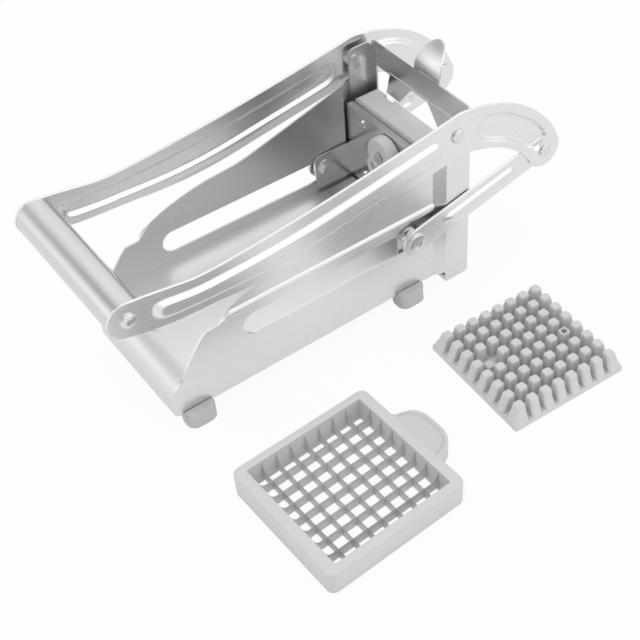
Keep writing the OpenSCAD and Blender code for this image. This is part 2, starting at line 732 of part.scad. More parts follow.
turn_z = between(carriage_low, carriage_top, turn_place_share);
rivet_places = [
    for (i = [-1, 1], share = [rivet_edge_share, 1 - rivet_edge_share])
        [i * opening * rivet_side_share, between(carriage_low, carriage_top, share)]
];
module block_rivets() {
    color(steel) placed() for (at = rivet_places) translate([plate_front_x, at[0], at[1]]) rotate([0, 90, 0])
        union() {
            cylinder(r = block_rivet_r, h = sheet_t, $fn = small_fn);
            translate([0, 0, -rivet_head_h / 2])
                cylinder(r = block_rivet_r * block_rivet_head_share, h = rivet_head_h / 2, $fn = small_fn);
        }
}

coarse_pin = coarse_pitch - blade_t - 2 * seat_gap;
block_low = insert_mid_z + (coarse_n / 2 - pin_rows) * coarse_pitch + seat_gap;
module pusher_block() {
    color(plastic) placed() union() {
        box(plate_x, plate_x + block_t, -opening / 2, opening / 2, block_low, insert_mid_z + opening / 2);
        for (i = [0:coarse_n - 1], j = [coarse_n - pin_rows:coarse_n - 1])
            translate([0, 0, insert_mid_z]) translate([0, i + 1 / 2, j + 1 / 2] * coarse_pitch)
                translate([0, -opening / 2, -opening / 2])
                box(plate_x + block_t, plate_x + block_t + pin_len,
                    -coarse_pin / 2, coarse_pin / 2, -coarse_pin / 2, coarse_pin / 2);
    }
}

// The bush fills the guide slot between cheek and link bar
bush_out = panel_out - side_gap;
module slot_bush(side) {
    color(steel) placed() difference() {
        side_rod(side, stud_x, slot_z, bush_r, cheek_out, bush_out);
        side_rod(side, stud_x, slot_z, stud_r, cheek_out - overrun, bush_out + overrun);
    }
}
module slot_bush_near() slot_bush(-1);
module slot_bush_far() slot_bush(1);

module slot_nut(side) {
    color(steel) placed() union() {
        side_rod(side, stud_x, slot_z, stud_r, cheek_in - nut_h, bush_out);
        side_rod(side, stud_x, slot_z, washer_r, cheek_in - sheet_t / 2, cheek_in);
        translate([stud_x, min(side * (cheek_in - nut_h), side * (cheek_in - sheet_t / 2)), slot_z])
            rotate([-90, 0, 0]) cylinder(r = nut_r, h = nut_h - sheet_t / 2, $fn = 6);
    }
}
module slot_nut_near() slot_nut(-1);
module slot_nut_far() slot_nut(1);

turn_back_x = plate_front_x - side_gap;
turn_front_x = turn_back_x - turn_t;
turn_lobe_turn = 32;
module turn_pin() {
    color(steel) placed() translate([turn_front_x - sheet_t, 0, turn_z]) rotate([0, 90, 0]) union() {
        cylinder(r = turn_pin_r, h = plate_x - turn_front_x + sheet_t, $fn = small_fn);
        cylinder(r = turn_pin_r * turn_head_share, h = sheet_t - fit_gap, $fn = small_fn);
    }
}
module thumb_turn() {
    color(plastic) placed() translate([turn_front_x, 0, turn_z]) rotate([turn_lobe_turn, 0, 0])
    difference() {
        union() {
            rotate([0, 90, 0]) cylinder(r = turn_r, h = turn_t, $fn = round_fn);
            translate([turn_t * (1 - ring_t_share), 0, -turn_reach]) rotate([0, 90, 0])
                cylinder(r = turn_ring_r, h = turn_t * ring_t_share, $fn = round_fn);
        }
        translate([-overrun, 0, 0]) rotate([0, 90, 0])
            cylinder(r = turn_pin_r + fit_gap, h = turn_t + 2 * overrun, $fn = small_fn);
        translate([-overrun, 0, -turn_reach]) rotate([0, 90, 0])
            cylinder(r = turn_ring_r * ring_hole_share, h = turn_t + 2 * overrun, $fn = small_fn);
    }
}

// Blade frames

// Rounded square frame round the origin, standing on the XY plane
module ring_frame(w, d, t) {
    difference() {
        union() {
            box(-w / 2 + insert_r, w / 2 - insert_r, -d / 2, d / 2, 0, t);
            box(-w / 2, w / 2, -d / 2 + insert_r, d / 2 - insert_r, 0, t);
            for (i = [-1, 1], j = [-1, 1]) translate([i * (w / 2 - insert_r), j * (d / 2 - insert_r), 0])
                cylinder(r = insert_r, h = t, $fn = small_fn);
        }
        box(-opening / 2, opening / 2, -opening / 2, opening / 2, -overrun, t + overrun);
    }
}
// Row of blades along X, side by side in Y
module blade_row(n, pitch, z0) {
    for (i = [1:n - 1]) translate([0, i * pitch - opening / 2, 0])
        box(-opening / 2, opening / 2, -blade_t / 2, blade_t / 2, z0, z0 + blade_d);
}
module mounted() placed() translate([insert_x, 0, insert_mid_z]) rotate([0, 90, 0]) children();
module blade_frame() {
    color(plastic) mounted() difference() {
        ring_frame(insert_h, insert_w, insert_t);
        for (side = [-1, 1]) translate([-insert_h / 2, side * tongue_tip_y, insert_t - notch_r / 2])
            cylinder(r = notch_r, h = insert_t, $fn = small_fn);
    }
}
module upright_blades() {
    color(steel) mounted() blade_row(coarse_n, coarse_pitch, insert_t / 2 - blade_d);
}
module cross_blades() {
    color(steel) mounted() rotate([0, 0, 90]) blade_row(coarse_n, coarse_pitch, insert_t / 2);
}

module loose_frame_place()
    placed() translate([-loose_frame_dx, -loose_frame_dy, 0]) rotate([0, 0, loose_frame_turn]) children();
function tab_points(side) = [for (s = tab_shares) [loose_h / 2 + s[0] * tab_len, side * s[1] * tab_half]];
module loose_blade_frame() {
    color(plastic) loose_frame_place() union() {
        ring_frame(loose_h, loose_w, loose_t);
        linear_extrude(tab_t) polygon(concat(
            [[(loose_h - loose_end_rim) / 2, -tab_half]],
            curve(concat(tab_points(-1), back(tab_points(1)))),
            [[(loose_h - loose_end_rim) / 2, tab_half]]
        ));
    }
}
module loose_long_blades() {
    color(steel) loose_frame_place() blade_row(fine_n, fine_pitch, loose_t / 2);
}
module loose_cross_blades() {
    color(steel) loose_frame_place() rotate([0, 0, 90]) blade_row(fine_n, fine_pitch, loose_t / 2 - blade_d);
}

module loose_pusher_block() {
    half = loose_plate / 2;
    pin = fine_pitch - loose_pin_gap;
    color(plastic) placed() translate([-loose_block_dx, -loose_block_dy, 0]) rotate([0, 0, -loose_block_turn])
    union() {
        box(-half, half, -half, half, 0, loose_plate_t);
        for (i = [0:fine_n - 1], j = [0:fine_n - 1])
            translate([i - (fine_n - 1) / 2, j - (fine_n - 1) / 2, 0] * fine_pitch)
                box(-pin / 2, pin / 2, -pin / 2, pin / 2, loose_plate_t, loose_plate_t + loose_pin_len);
    }
}

near_side();
far_side();
front_apron();
deck();
blade_sill();
crossbar();
thumb_tab();
foot_front_near();
foot_front_far();
foot_rear_near();
foot_rear_far();
pivot_rivet_near();
pivot_rivet_far();
blade_frame();
upright_blades();
cross_blades();
lever_arm_near();
lever_arm_far();
handle_tube();
handle_rod();
handle_cap_near();
handle_cap_far();
link_rivet_near();
link_rivet_far();
link_bar_near();
link_bar_far();
link_stud_near();
link_stud_far();
carriage();
pusher_block();
slot_bush_near();
slot_bush_far();
slot_nut_near();
slot_nut_far();
block_rivets();
turn_pin();
thumb_turn();
loose_blade_frame();
loose_long_blades();
loose_cross_blades();
loose_pusher_block();
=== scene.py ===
import json
import math

import bpy
import numpy as np
from mathutils import Matrix, Vector


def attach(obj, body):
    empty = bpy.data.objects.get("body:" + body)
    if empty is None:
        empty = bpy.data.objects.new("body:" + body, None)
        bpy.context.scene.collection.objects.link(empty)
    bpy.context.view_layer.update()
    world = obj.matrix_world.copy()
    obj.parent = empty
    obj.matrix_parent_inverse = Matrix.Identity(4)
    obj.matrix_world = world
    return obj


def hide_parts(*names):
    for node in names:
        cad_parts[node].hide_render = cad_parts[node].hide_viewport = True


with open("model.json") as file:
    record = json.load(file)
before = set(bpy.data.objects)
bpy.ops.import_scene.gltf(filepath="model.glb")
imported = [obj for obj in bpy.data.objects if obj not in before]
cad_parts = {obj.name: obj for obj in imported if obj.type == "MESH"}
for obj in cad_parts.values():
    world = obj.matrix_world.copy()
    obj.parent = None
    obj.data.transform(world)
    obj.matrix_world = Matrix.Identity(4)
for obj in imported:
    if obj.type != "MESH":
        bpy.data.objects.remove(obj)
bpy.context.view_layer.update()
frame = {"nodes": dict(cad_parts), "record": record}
NODES = frame["nodes"]

# The part's own sizes, in millimetres. Points are measured from the lever pivot in X and Y
# and from the table in Z; ORIGIN moves them to the shared frame.
JOINTS = {j["name"]: j for j in frame["record"]["behaviour"]["joints"]}
PIVOT = np.array(JOINTS["lever_swing"]["pos_m"]) * 1000.0
ORIGIN = np.array([PIVOT[0], PIVOT[1], 0.0])
PIVOT_Z = PIVOT[2]
HANDLE_REACH = 186.0
HANDLE = (-HANDLE_REACH, 89.6)
HANDLE_END_R = 9.9
ARM_H = 26.5
ARM_IN, ARM_OUT = 43.6, 45.0
RIVET = (61.3, 62.0)
LINK_END_R = 10.6
LINK_DX, LINK_DZ = 61.3, 38.0
STUD = (-25.5, 43.0)
LINK_HALF = 8.0
LINK_IN, LINK_OUT = 41.7, 43.2
OPENING = 66.8
FRAME_W, FRAME_D = 79.0, 76.0
CELLS = 8
PITCH = OPENING / CELLS
SIDES = ((-1, "near"), (1, "far"))

# Outlines as in the part's source: the arm in shares of the lever's reach and depth, its bent
# end and the recess in it in shares of the way from the pivot to the link rivet
ARM_TOP = [(-.946, -.068), (-.887, -.136), (-.817, -.212), (-.753, -.213), (-.645, -.155),
           (-.554, -.09), (-.457, -.015), (-.323, .112), (-.161, .285), (-.027, .442)]
ARM_LOW = [(-.946, -.868), (-.887, -.928), (-.817, -.962), (-.753, -.985), (-.645, -1.042),
           (-.554, -1.049), (-.457, -1), (-.323, -.86), (-.161, -.687), (-.027, -.543)]
NECK_OUT = [(.033, .337), (.173, .313), (.281, .274), (.388, .221), (.532, .129), (.669, .011),
            (.786, -.124), (.909, -.3), (1.038, -.532), (1.122, -.75)]
NECK_IN = [(.825, -1.053), (.765, -.926), (.69, -.795), (.582, -.661), (.467, -.547),
           (.352, -.466), (.241, -.411), (.111, -.361)]
RECESS = [(.225, -.121), (.238, .016), (.3, .071), (.4, .05), (.504, -.005), (.641, -.132),
          (.736, -.242), (.856, -.397), (.985, -.647), (1, -.768), (.959, -.9), (.883, -.924),
          (.759, -.747), (.636, -.595), (.519, -.468), (.351, -.347), (.251, -.247)]


# Small helpers

def srgb(hex_code):
    """Linear RGBA of an sRGB colour such as 'c8c8c8'."""
    c = [int(hex_code[i:i + 2], 16) / 255 for i in (0, 2, 4)]
    return [v / 12.92 if v <= 0.04045 else ((v + 0.055) / 1.055) ** 2.4 for v in c] + [1.0]


def shade(hex_code, factor):
    """Linear RGBA of an sRGB colour, lighter or darker by a factor."""
    return [min(v * factor, 1.0) for v in srgb(hex_code)[:3]] + [1.0]


def to_frame(points):
    """Millimetres from the pivot to metres in the shared frame."""
    return (np.asarray(points, float) + ORIGIN) / 1000.0


def smooth(t):
    """0 below 0, 1 above 1, 3t^2 - 2t^3 between."""
    t = np.clip(t, 0.0, 1.0)
    return t * t * (3 - 2 * t)


class Shells:
    """Collects closed shells, in millimetres from the pivot, for one piece."""

    def __init__(self):
        self.verts, self.faces = [], []

    def skin(self, rings, round_trip=False):
        """Joins closed loops of equal length, rings[i][j] = (x, y, z). The two end loops are
        closed with a face each, unless round_trip joins the last loop to the first."""
        rings = np.asarray(rings, float)
        n, m = rings.shape[:2]
        v = rings.reshape(-1, 3)
        this = np.arange(n * m).reshape(n, m)
        following = np.roll(this, -1, axis=0)
        a, b = (this, following) if round_trip else (this[:-1], following[:-1])
        groups = [np.stack([a, np.roll(a, -1, axis=1), np.roll(b, -1, axis=1), b], -1).reshape(-1, 4)]
        if not round_trip:
            groups += [this[:1, ::-1], this[-1:]]
        if sum(self._volume(v, faces) for faces in groups) < 0:
            groups = [faces[:, ::-1] for faces in groups]
        base = sum(len(q) for q in self.verts)
        self.verts.append(v)
        for faces in groups:
            self.faces.extend((faces + base).tolist())
        return self

    @staticmethod
    def _volume(v, faces):
        """Six times the volume between the origin and the faces, negative if they face inward:
        each face is a fan of triangles a, b, c from its first corner, and adds a . (b x c)."""
        a, b, c = v[faces[:, :1]], v[faces[:, 1:-1]], v[faces[:, 2:]]
        return np.sum(a * np.cross(b, c))

    def piece(self, name, body, slot, material, replaces=(), sharp=40.0):
        """Adds the shells as one object that rides on a body and stands for the nodes in replaces.
        Edges steeper than sharp degrees stay crisp."""
        mesh = bpy.data.meshes.new(name)
        v = to_frame(np.concatenate(self.verts))
        mesh.from_pydata(v.tolist(), [], self.faces)
        mesh.validate()
        mesh.update()
        mesh.polygons.foreach_set("use_smooth", [True] * len(mesh.polygons))
        mesh.set_sharp_from_angle(angle=math.radians(sharp))
        o = bpy.data.objects.new(name, mesh)
        bpy.context.scene.collection.objects.link(o)
        mesh.materials.append(material)
        if replaces:
            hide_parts(*replaces)
        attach(o, body)


def catmull(points, steps=6):
    """Smooth curve through points, the same spline as in the part's source: between b and c, with
    a before and d after them, a cubic in t from 0 to 1."""
    p = np.array(points, float)
    a, b, c, d = (q[:, None] for q in (p[[0, *range(len(p) - 2)]], p[:-1], p[1:], p[[*range(2, len(p)), -1]]))
    t = (np.arange(steps) / steps)[:, None]
    line = (b * 2 + (c - a) * t + (a * 2 - b * 5 + c * 4 - d) * t * t + (b * 3 - a - c * 3 + d) * t ** 3) / 2
    return np.vstack([line.reshape(-1, 2), p[-1:]])


def arc(centre, r, a0, a1, n=16):
    """Points on a circle from a0 to a1 degrees."""
    a = np.radians(np.linspace(a0, a1, n + 1))
    return np.stack([centre[0] + r * np.cos(a), centre[1] + r * np.sin(a)], 1)


def even(line, n):
    """n points at even steps of length along a polyline."""
    line = np.asarray(line, float)
    s = np.concatenate([[0], np.cumsum(np.linalg.norm(np.diff(line, axis=0), axis=1))])
    t = np.linspace(0, s[-1], n)
    return np.stack([np.interp(t, s, line[:, k]) for k in range(line.shape[1])], 1)


def edge_distance(points, outline):
    """Signed distance to a closed outline, positive inside."""
    p = np.asarray(points, float)
    a = np.asarray(outline, float)
    b = np.roll(a, -1, axis=0)
    d = np.full(p.shape[:-1], 1e9)
    inside = np.zeros(p.shape[:-1], bool)
    for q, r in zip(a, b):
        e = r - q
        w = p - q
        t = np.clip((w @ e) / max(e @ e, 1e-12), 0, 1)
        d = np.minimum(d, np.linalg.norm(w - t[..., None] * e, axis=-1))
        crosses = (q[1] > p[..., 1]) != (r[1] > p[..., 1])
        with np.errstate(divide="ignore", invalid="ignore"):
            at = (r[0] - q[0]) * (p[..., 1] - q[1]) / (r[1] - q[1]) + q[0]
        inside ^= crosses & (p[..., 0] < at)
    return np.where(inside, d, -d)


# Materials

def node(tree, kind, inputs=None, **settings):
    """Adds a node, sets its settings, and sets or links its inputs by name or number."""
    n = tree.nodes.new(kind)
    for key, value in settings.items():
        setattr(n, key, value)
    for key, value in (inputs or {}).items():
        s = n.inputs[key]
        if isinstance(value, bpy.types.NodeSocket):
            tree.links.new(value, s)
        else:
            s.default_value = value
    return n


# A brush line is this many times as long as wide. Clouds are broad, faint patches of tone or gloss.
BRUSH_STRETCH = 60.0
METAL_CLOUDS_PER_M, PLASTIC_CLOUDS_PER_M = 22.0, 30.0
ROUGHNESS_SPREAD = 0.05


def metal(name, hex_code, roughness, grain_mm, along, depth, metallic=1.0):
    """Brushed or satin steel: noise stretched along one axis drives roughness, tone and bump.
    grain_mm is the width of a brush line, depth its depth in millimetres."""
    m = bpy.data.materials.new(name)
    m.use_nodes = True
    t = m.node_tree
    b = t.nodes["Principled BSDF"]
    b.inputs["Metallic"].default_value = metallic
    where = node(t, "ShaderNodeTexCoord").outputs["Object"]
    per_m = 1000.0 / grain_mm
    stretch = [per_m] * 3
    stretch["XYZ".index(along)] = per_m / BRUSH_STRETCH
    scaled = node(t, "ShaderNodeMapping", {"Vector": where, "Scale": stretch}).outputs["Vector"]
    lines = node(t, "ShaderNodeTexNoise", {"Vector": scaled, "Scale": 1.0, "Detail": 3.0}).outputs["Fac"]
    clouds = {"Vector": where, "Scale": METAL_CLOUDS_PER_M, "Detail": 2.0}
    cloud = node(t, "ShaderNodeTexNoise", clouds).outputs["Fac"]
    both = node(t, "ShaderNodeMath", {0: lines, 1: cloud}, operation="ADD").outputs[0]
    rough = node(t, "ShaderNodeMapRange", {
        "Value": both, "From Min": 0.6, "From Max": 1.4,
        "To Min": roughness - ROUGHNESS_SPREAD, "To Max": roughness + ROUGHNESS_SPREAD})
    t.links.new(rough.outputs["Result"], b.inputs["Roughness"])
    tone = node(t, "ShaderNodeMix", {"Factor": lines, "A": shade(hex_code, 0.94), "B": shade(hex_code, 1.05)},
                data_type="RGBA")
    t.links.new(tone.outputs["Result"], b.inputs["Base Color"])
    bump = node(t, "ShaderNodeBump", {"Height": lines, "Strength": 0.25, "Distance": depth / 1000.0})
    t.links.new(bump.outputs["Normal"], b.inputs["Normal"])
    return m


def moulded(name, hex_code, roughness, grain_mm, depth):
    """Moulded plastic or rubber: a fine even grain in the bump, a faint unevenness in tone.
    grain_mm is the width of a grain, depth its depth in millimetres."""
    m = bpy.data.materials.new(name)
    m.use_nodes = True
    t = m.node_tree
    b = t.nodes["Principled BSDF"]
    b.inputs["Roughness"].default_value = roughness
    b.inputs["Specular IOR Level"].default_value = 0.4
    where = node(t, "ShaderNodeTexCoord").outputs["Object"]
    fine = {"Vector": where, "Scale": 1000.0 / grain_mm, "Detail": 2.0}
    grain = node(t, "ShaderNodeTexNoise", fine).outputs["Fac"]
    clouds = {"Vector": where, "Scale": PLASTIC_CLOUDS_PER_M, "Detail": 2.0}
    cloud = node(t, "ShaderNodeTexNoise", clouds).outputs["Fac"]
    tone = node(t, "ShaderNodeMix", {"Factor": cloud, "A": shade(hex_code, 0.96), "B": shade(hex_code, 1.04)},
                data_type="RGBA")
    t.links.new(tone.outputs["Result"], b.inputs["Base Color"])
    bump = node(t, "ShaderNodeBump", {"Height": grain, "Strength": 0.2, "Distance": depth / 1000.0})
    t.links.new(bump.outputs["Normal"], b.inputs["Normal"])
    return m


# Real brush lines and grains are about 0.05 mm wide. They are drawn 0.2 to 0.4 mm wide, which is
# as coarse as they need to be to show.
# Stainless sheet brushed along the walls: long fine streaks along X, which blur what it reflects
WALL_STEEL = metal("brushed_stainless_sheet", "e8e8e8", 0.30, 0.22, "X", 0.010)
# The same sheet on the far wall, painted a greyer tone: painted shade of its inner face, which lies in shade
# between the walls
FAR_WALL_PAINTED_SHADE_STEEL = metal("brushed_stainless_far_sheet_painted_shade", "cccccc", 0.30, 0.22, "X", 0.010)
# Pressed after brushing: the streaks are flattened, so the arms and links look smoother
ARM_STEEL = metal("pressed_stainless_sheet", "eaeaea", 0.28, 0.22, "X", 0.004)
# Satin sheet of the deck: soft, nearly even reflections
DECK_STEEL = metal("satin_stainless_sheet", "e4e5e5", 0.34, 0.25, "X", 0.02)
# The same sheet bent down at the front, where it looks duller and its lines run across
APRON_STEEL = metal("satin_stainless_front", "e4e5e5", 0.46, 0.25, "Y", 0.02)
# Bar, tube and carriage, finished along Y: clearer bands of light and dark
BAR_STEEL = metal("satin_stainless_bar", "d8d8d8", 0.24, 0.3, "Y", 0.015)
# Rivet heads and studs, polished by the press: small crisp highlights
RIVET_STEEL = metal("polished_stainless_rivet", "e2e2e2", 0.20, 0.4, "Z", 0.01)
# Thin ground blade strip: an even matt grey between the white walls of the frame
BLADE_STEEL = metal("ground_blade_steel", "d6d6d6", 0.45, 0.2, "X", 0.01, metallic=0.7)
# Moulded pale grey plastic of the spare frame and block: fine grain, broad dull highlights
PLASTIC = moulded("pale_grey_plastic", "d0d0ce", 0.48, 0.35, 0.02)
# Moulded white plastic of the mounted parts: a little glossier
WHITE_PLASTIC = moulded("white_plastic", "cfcfcd", 0.40, 0.35, 0.02)
# Moulded grey rubber: matt, with hardly any highlight
FOOT_RUBBER = moulded("grey_rubber", "bfbfbd", 0.60, 0.4, 0.03)

LOOKS = {
    "brushed_sheet": WALL_STEEL,
    "satin_sheet": DECK_STEEL,
    "rivet_steel": RIVET_STEEL,
    "blade_steel": BLADE_STEEL,
    "pale_plastic": PLASTIC,
    "foot_rubber": FOOT_RUBBER,
}
NODE_LOOKS = {
    "crossbar": BAR_STEEL,
    "handle_tube": BAR_STEEL,
    "handle_rod": BAR_STEEL,
    "carriage": BAR_STEEL,
    "front_apron": APRON_STEEL,
    # The far wall gets the wall sheet darkened with painted shade
    "far_side": FAR_WALL_PAINTED_SHADE_STEEL,
    "thumb_turn": WHITE_PLASTIC,
    "pusher_block": WHITE_PLASTIC,
    "blade_frame": WHITE_PLASTIC,
}
for part in frame["record"]["subparts"]:
    materials = NODES[part["node"]].data.materials
    materials.clear()
    materials.append(NODE_LOOKS.get(part["node"], LOOKS[part["material_slot"]]))


# Straps: lever arms and link bars

STRAP_ROUND = 0.35


def strap(low, top, y_in, y_out, height, side, widths=40):
    """A flat strap between two matched edge lines low[i] and top[i] in X and Z.
    Its outer face lies at y_out + height(point, v), its inner face at y_in + the same, with
    v from 0 at the lower to 1 at the upper edge. The rim is rounded by STRAP_ROUND."""
    span = np.linalg.norm(top - low, axis=1)[:, None]
    cut = np.minimum(STRAP_ROUND, span * 0.3)
    share = cut / np.maximum(span, 1e-6)
    v = np.hstack([0 * span, share + np.linspace(0, 1, widths) * (1 - 2 * share), 0 * span + 1])
    p = low[:, None] + (top - low)[:, None] * v[..., None]
    h = height(p, v)
    rim = np.hstack([cut, np.zeros((len(span), widths)), cut])
    outer = np.stack([p[..., 0], side * (y_out + h - rim), p[..., 1]], -1)
    inner = np.stack([p[..., 0], side * (y_in + h + rim), p[..., 1]], -1)
    return np.concatenate([outer, inner[:, ::-1]], axis=1)


END_STEPS, ARM_STEPS, NECK_STEPS, RIVET_STEPS = 14, 120, 80, 18


def about_pivot(shares, wide, high):
    """Points in X and Z from shares of a width and a height, measured from the pivot."""
    return [(x * wide, PIVOT_Z + z * high) for x, z in shares]


def arm_edge(arm, neck, handle_turn, rivet_turn):
    """One long edge of a lever arm: round the handle's end from the tip, along the arm to the
    pivot, along the bent neck, and round the link rivet to the far tip."""
    line = catmull(about_pivot(arm, HANDLE_REACH, ARM_H) + about_pivot(neck, LINK_DX, LINK_DZ))
    return np.concatenate([
        even(arc(HANDLE, HANDLE_END_R, 180, handle_turn), END_STEPS),
        even(line[line[:, 0] < 0], ARM_STEPS),
        even(line[np.argmax(line[:, 0] >= 0):], NECK_STEPS),
        even(arc(RIVET, LINK_END_R, rivet_turn, -68), RIVET_STEPS),
    ])


ARM_LOW_EDGE = arm_edge(ARM_LOW, NECK_IN[::-1], 250, -160)
ARM_TOP_EDGE = arm_edge(ARM_TOP, NECK_OUT, 92, 22)
RECESS_LINE = catmull(about_pivot(RECESS + RECESS[:1], LINK_DX, LINK_DZ), 4)
RIB_H, RIB_LOW, RIB_TOP = 1.8, 0.25, 0.70
RIB_X0, RIB_X1, RIB_EDGE = -173.0, -11.0, 2.6
RECESS_DEPTH, RECESS_EDGE = 2.2, 2.6


def arm_height(p, t):
    """Long rib RIB_H high between shares RIB_LOW and RIB_TOP of the depth, with shoulders that
    rise as smooth(d / RIB_EDGE + 0.3) with the distance d from its outline, and a kidney-shaped
    recess RECESS_DEPTH deep on the bent end, which falls in the same way."""
    x = p[..., 0]
    w = np.interp(x, ARM_TOP_EDGE[:, 0], np.linalg.norm(ARM_TOP_EDGE - ARM_LOW_EDGE, axis=1))
    half = (RIB_TOP - RIB_LOW) * w / 2
    across = np.abs(t - (RIB_TOP + RIB_LOW) / 2) * w
    beyond = np.maximum(np.maximum(RIB_X0 + half - x, x - RIB_X1 + half), 0)
    d = half - np.hypot(across, beyond)
    recess = RECESS_DEPTH * smooth(edge_distance(p, RECESS_LINE) / RECESS_EDGE + 0.3)
    return RIB_H * smooth(d / RIB_EDGE + 0.3) - recess


for side, word in SIDES:
    Shells().skin(strap(ARM_LOW_EDGE, ARM_TOP_EDGE, ARM_IN, ARM_OUT, arm_height, side)).piece(
        "pressed_arm_" + word, "lever", "brushed_sheet", ARM_STEEL, ["lever_arm_" + word])


def link_edges():
    """Matched lower and upper edge of a link bar, straight between two round ends."""
    a, b = np.array(STUD), np.array(RIVET)
    turn = math.degrees(math.atan2(b[1] - a[1], b[0] - a[0]))
    edges = []
    for way in (-1, 1):
        near = arc(a, LINK_HALF, turn + way * 180, turn + way * 90)
        far = arc(b, LINK_HALF, turn + way * 90, turn)
        middle = even([near[-1], far[0]], 60)[1:-1]
        edges.append(np.concatenate([even(near, END_STEPS), middle, even(far, END_STEPS)]))
    return edges


LINK_LOW, LINK_TOP = link_edges()
LINK_LEN = math.dist(STUD, RIVET)
LINK_DIR = (np.array(RIVET) - np.array(STUD)) / LINK_LEN
LINK_RIB = {"start": 0.22, "end": 0.77, "half": 3.4, "off": 0.6, "soft": 2.4, "high": 1.2}


def link_height(p, _):
    """A rib with round ends between two shares of the bar's length, off its middle line. It
    rises as high * smooth(d / soft) with the distance d from its outline."""
    q = p - np.array(STUD)
    along = q @ LINK_DIR
    across = q @ np.array([-LINK_DIR[1], LINK_DIR[0]])
    ends = np.minimum(along - LINK_RIB["start"] * LINK_LEN, LINK_RIB["end"] * LINK_LEN - along)
    d = LINK_RIB["half"] - np.hypot(across - LINK_RIB["off"], np.minimum(ends - LINK_RIB["half"], 0))
    return LINK_RIB["high"] * smooth(d / LINK_RIB["soft"]) * (ends > -1)


for side, word in SIDES:
    Shells().skin(strap(LINK_LOW, LINK_TOP, LINK_IN, LINK_OUT, link_height, side, widths=36)).piece(
        "pressed_link_" + word, "links", "brushed_sheet", ARM_STEEL, ["link_bar_" + word])


# Blade frames

def square_loop(w, d, r, n=8, side_steps=12):
    """Rounded rectangle w by d, n steps a corner and side_steps a side, anticlockwise."""
    x, y = w / 2 - r, d / 2 - r
    corners = [arc(centre, r, a, a + 90, n)
               for *centre, a in ((x, y, 0), (-x, y, 90), (-x, -y, 180), (x, -y, 270))]
    out = []
    for this, following in zip(corners, corners[1:] + corners[:1]):
        out.append(this)
        out.append(np.linspace(this[-1], following[0], side_steps + 1)[1:-1])
    return np.concatenate(out)


FRAME_CORNER, OPENING_CORNER = 4.0, 0.8
FILLET, INNER_FILLET = 1.4, 0.5


def ring_rings(w, d, t):
    """Closed rings for skin(round_trip): at each point of the rounded rectangle w by d the section
    goes up the outside, over a top with a quarter circle FILLET outside and INNER_FILLET inside,
    down the inside and back along the foot."""
    outer = square_loop(w, d, FRAME_CORNER)
    inner = square_loop(OPENING, OPENING, OPENING_CORNER)
    width = np.linalg.norm(inner - outer, axis=1)[:, None]
    q = np.radians(np.linspace(0, 90, 5))
    along = np.hstack([0 * width + 0.3, 0 * width, 0 * width + FILLET * (1 - np.cos(q)),
                       width - INNER_FILLET * (1 - np.sin(q)), width])
    z = np.hstack([0.0, 0.5, t - FILLET * (1 - np.sin(q)), t - INNER_FILLET * (1 - np.cos(q)), 0.0])
    flat = outer[:, None] + ((inner - outer) / width)[:, None] * along[..., None]
    return np.dstack([flat, 0 * along + z])


def turned(points, degrees, at):
    """Turns points about Z and moves them to at."""
    a = math.radians(degrees)
    c, s = math.cos(a), math.sin(a)
    p = np.asarray(points, float)
    x, y = p[..., 0] * c - p[..., 1] * s, p[..., 0] * s + p[..., 1] * c
    return np.stack([x + at[0], y + at[1], p[..., 2] + at[2]], -1)


# Turn in degrees and place of the spare frame on the table
LOOSE_FRAME = (2.0, (-131.0, -124.3, 0.0))
LOOSE_T = 15.0
# Finger tab: shares of its length outward and of its half width. Its rim is TAB_RIM wide round
# a hollow TAB_SUNK deep, and its upper edge is rounded by TAB_ROUND.
TAB_LEN, TAB_HALF, TAB_T = 14.2, 20.0, 12.0
TAB_RIM, TAB_SUNK, TAB_ROUND = 1.7, 1.5, 1.2
TAB_ROOT, TAB_ROOT_SHARE = 1.5, 0.92
TAB_SHARES = [(0, 1), (.07, .94), (.14, .86), (.25, .8), (.45, .76), (.66, .7), (.84, .59), (.95, .45),
              (1.02, .24)]


def tab_rings():
    """Finger tab: at each point of its outline a section from the root TAB_ROOT inside the frame
    over the hollow and the rim to the outline, and back along the foot. d is the distance from
    the outline. The hollow deepens over 1.5 mm inside the rim and over 3 mm outside the frame."""
    half = [(FRAME_W / 2 + u * TAB_LEN, -v * TAB_HALF) for u, v in TAB_SHARES]
    line = even(catmull(half + [(x, -y) for x, y in half[::-1]], 4), 81)
    root = np.column_stack([0 * line[:, 0] + FRAME_W / 2 - TAB_ROOT, line[:, 1] * TAB_ROOT_SHARE])
    reach = np.maximum(np.linalg.norm(line - root, axis=1), 0.05)[:, None]
    flat_part = np.linspace(reach, np.minimum(5.0, reach * 0.8), 5, axis=1)[..., 0]
    d = np.hstack([flat_part, np.minimum(reach * 0.7, 3.6) * np.linspace(1, 0, 10)])
    q = line[:, None] + (root - line)[:, None] * (d / reach)[..., None]
    hollow = smooth((d - TAB_RIM) / 1.5) * smooth((q[..., 0] - FRAME_W / 2 - 0.8) / 3.0)
    round_off = TAB_ROUND - np.sqrt(TAB_ROUND ** 2 - np.clip(TAB_ROUND - d, 0, TAB_ROUND) ** 2)
    inset = line + (root - line) * np.minimum(0.5 / reach, 0.5)
    foot_z = 0 * reach + [TAB_T - TAB_ROUND - 0.8, 0.5, 0.0, 0.0]
    z = np.hstack([TAB_T - TAB_SUNK * hollow - round_off, foot_z])
    return np.dstack([np.hstack([q, np.stack([line, line, inset, root], 1)]), z])


body = Shells()
body.skin(turned(ring_rings(FRAME_W, FRAME_D, LOOSE_T), *LOOSE_FRAME), round_trip=True)
body.skin(turned(tab_rings(), *LOOSE_FRAME))
body.piece("spare_frame_body", "spare_frame", "pale_plastic", PLASTIC, ["loose_blade_frame"])


BLADE_T, BEVEL, BLADE_RUN = 0.6, 0.8, 4.0
BLADE_HALF = OPENING / 2 - 0.02
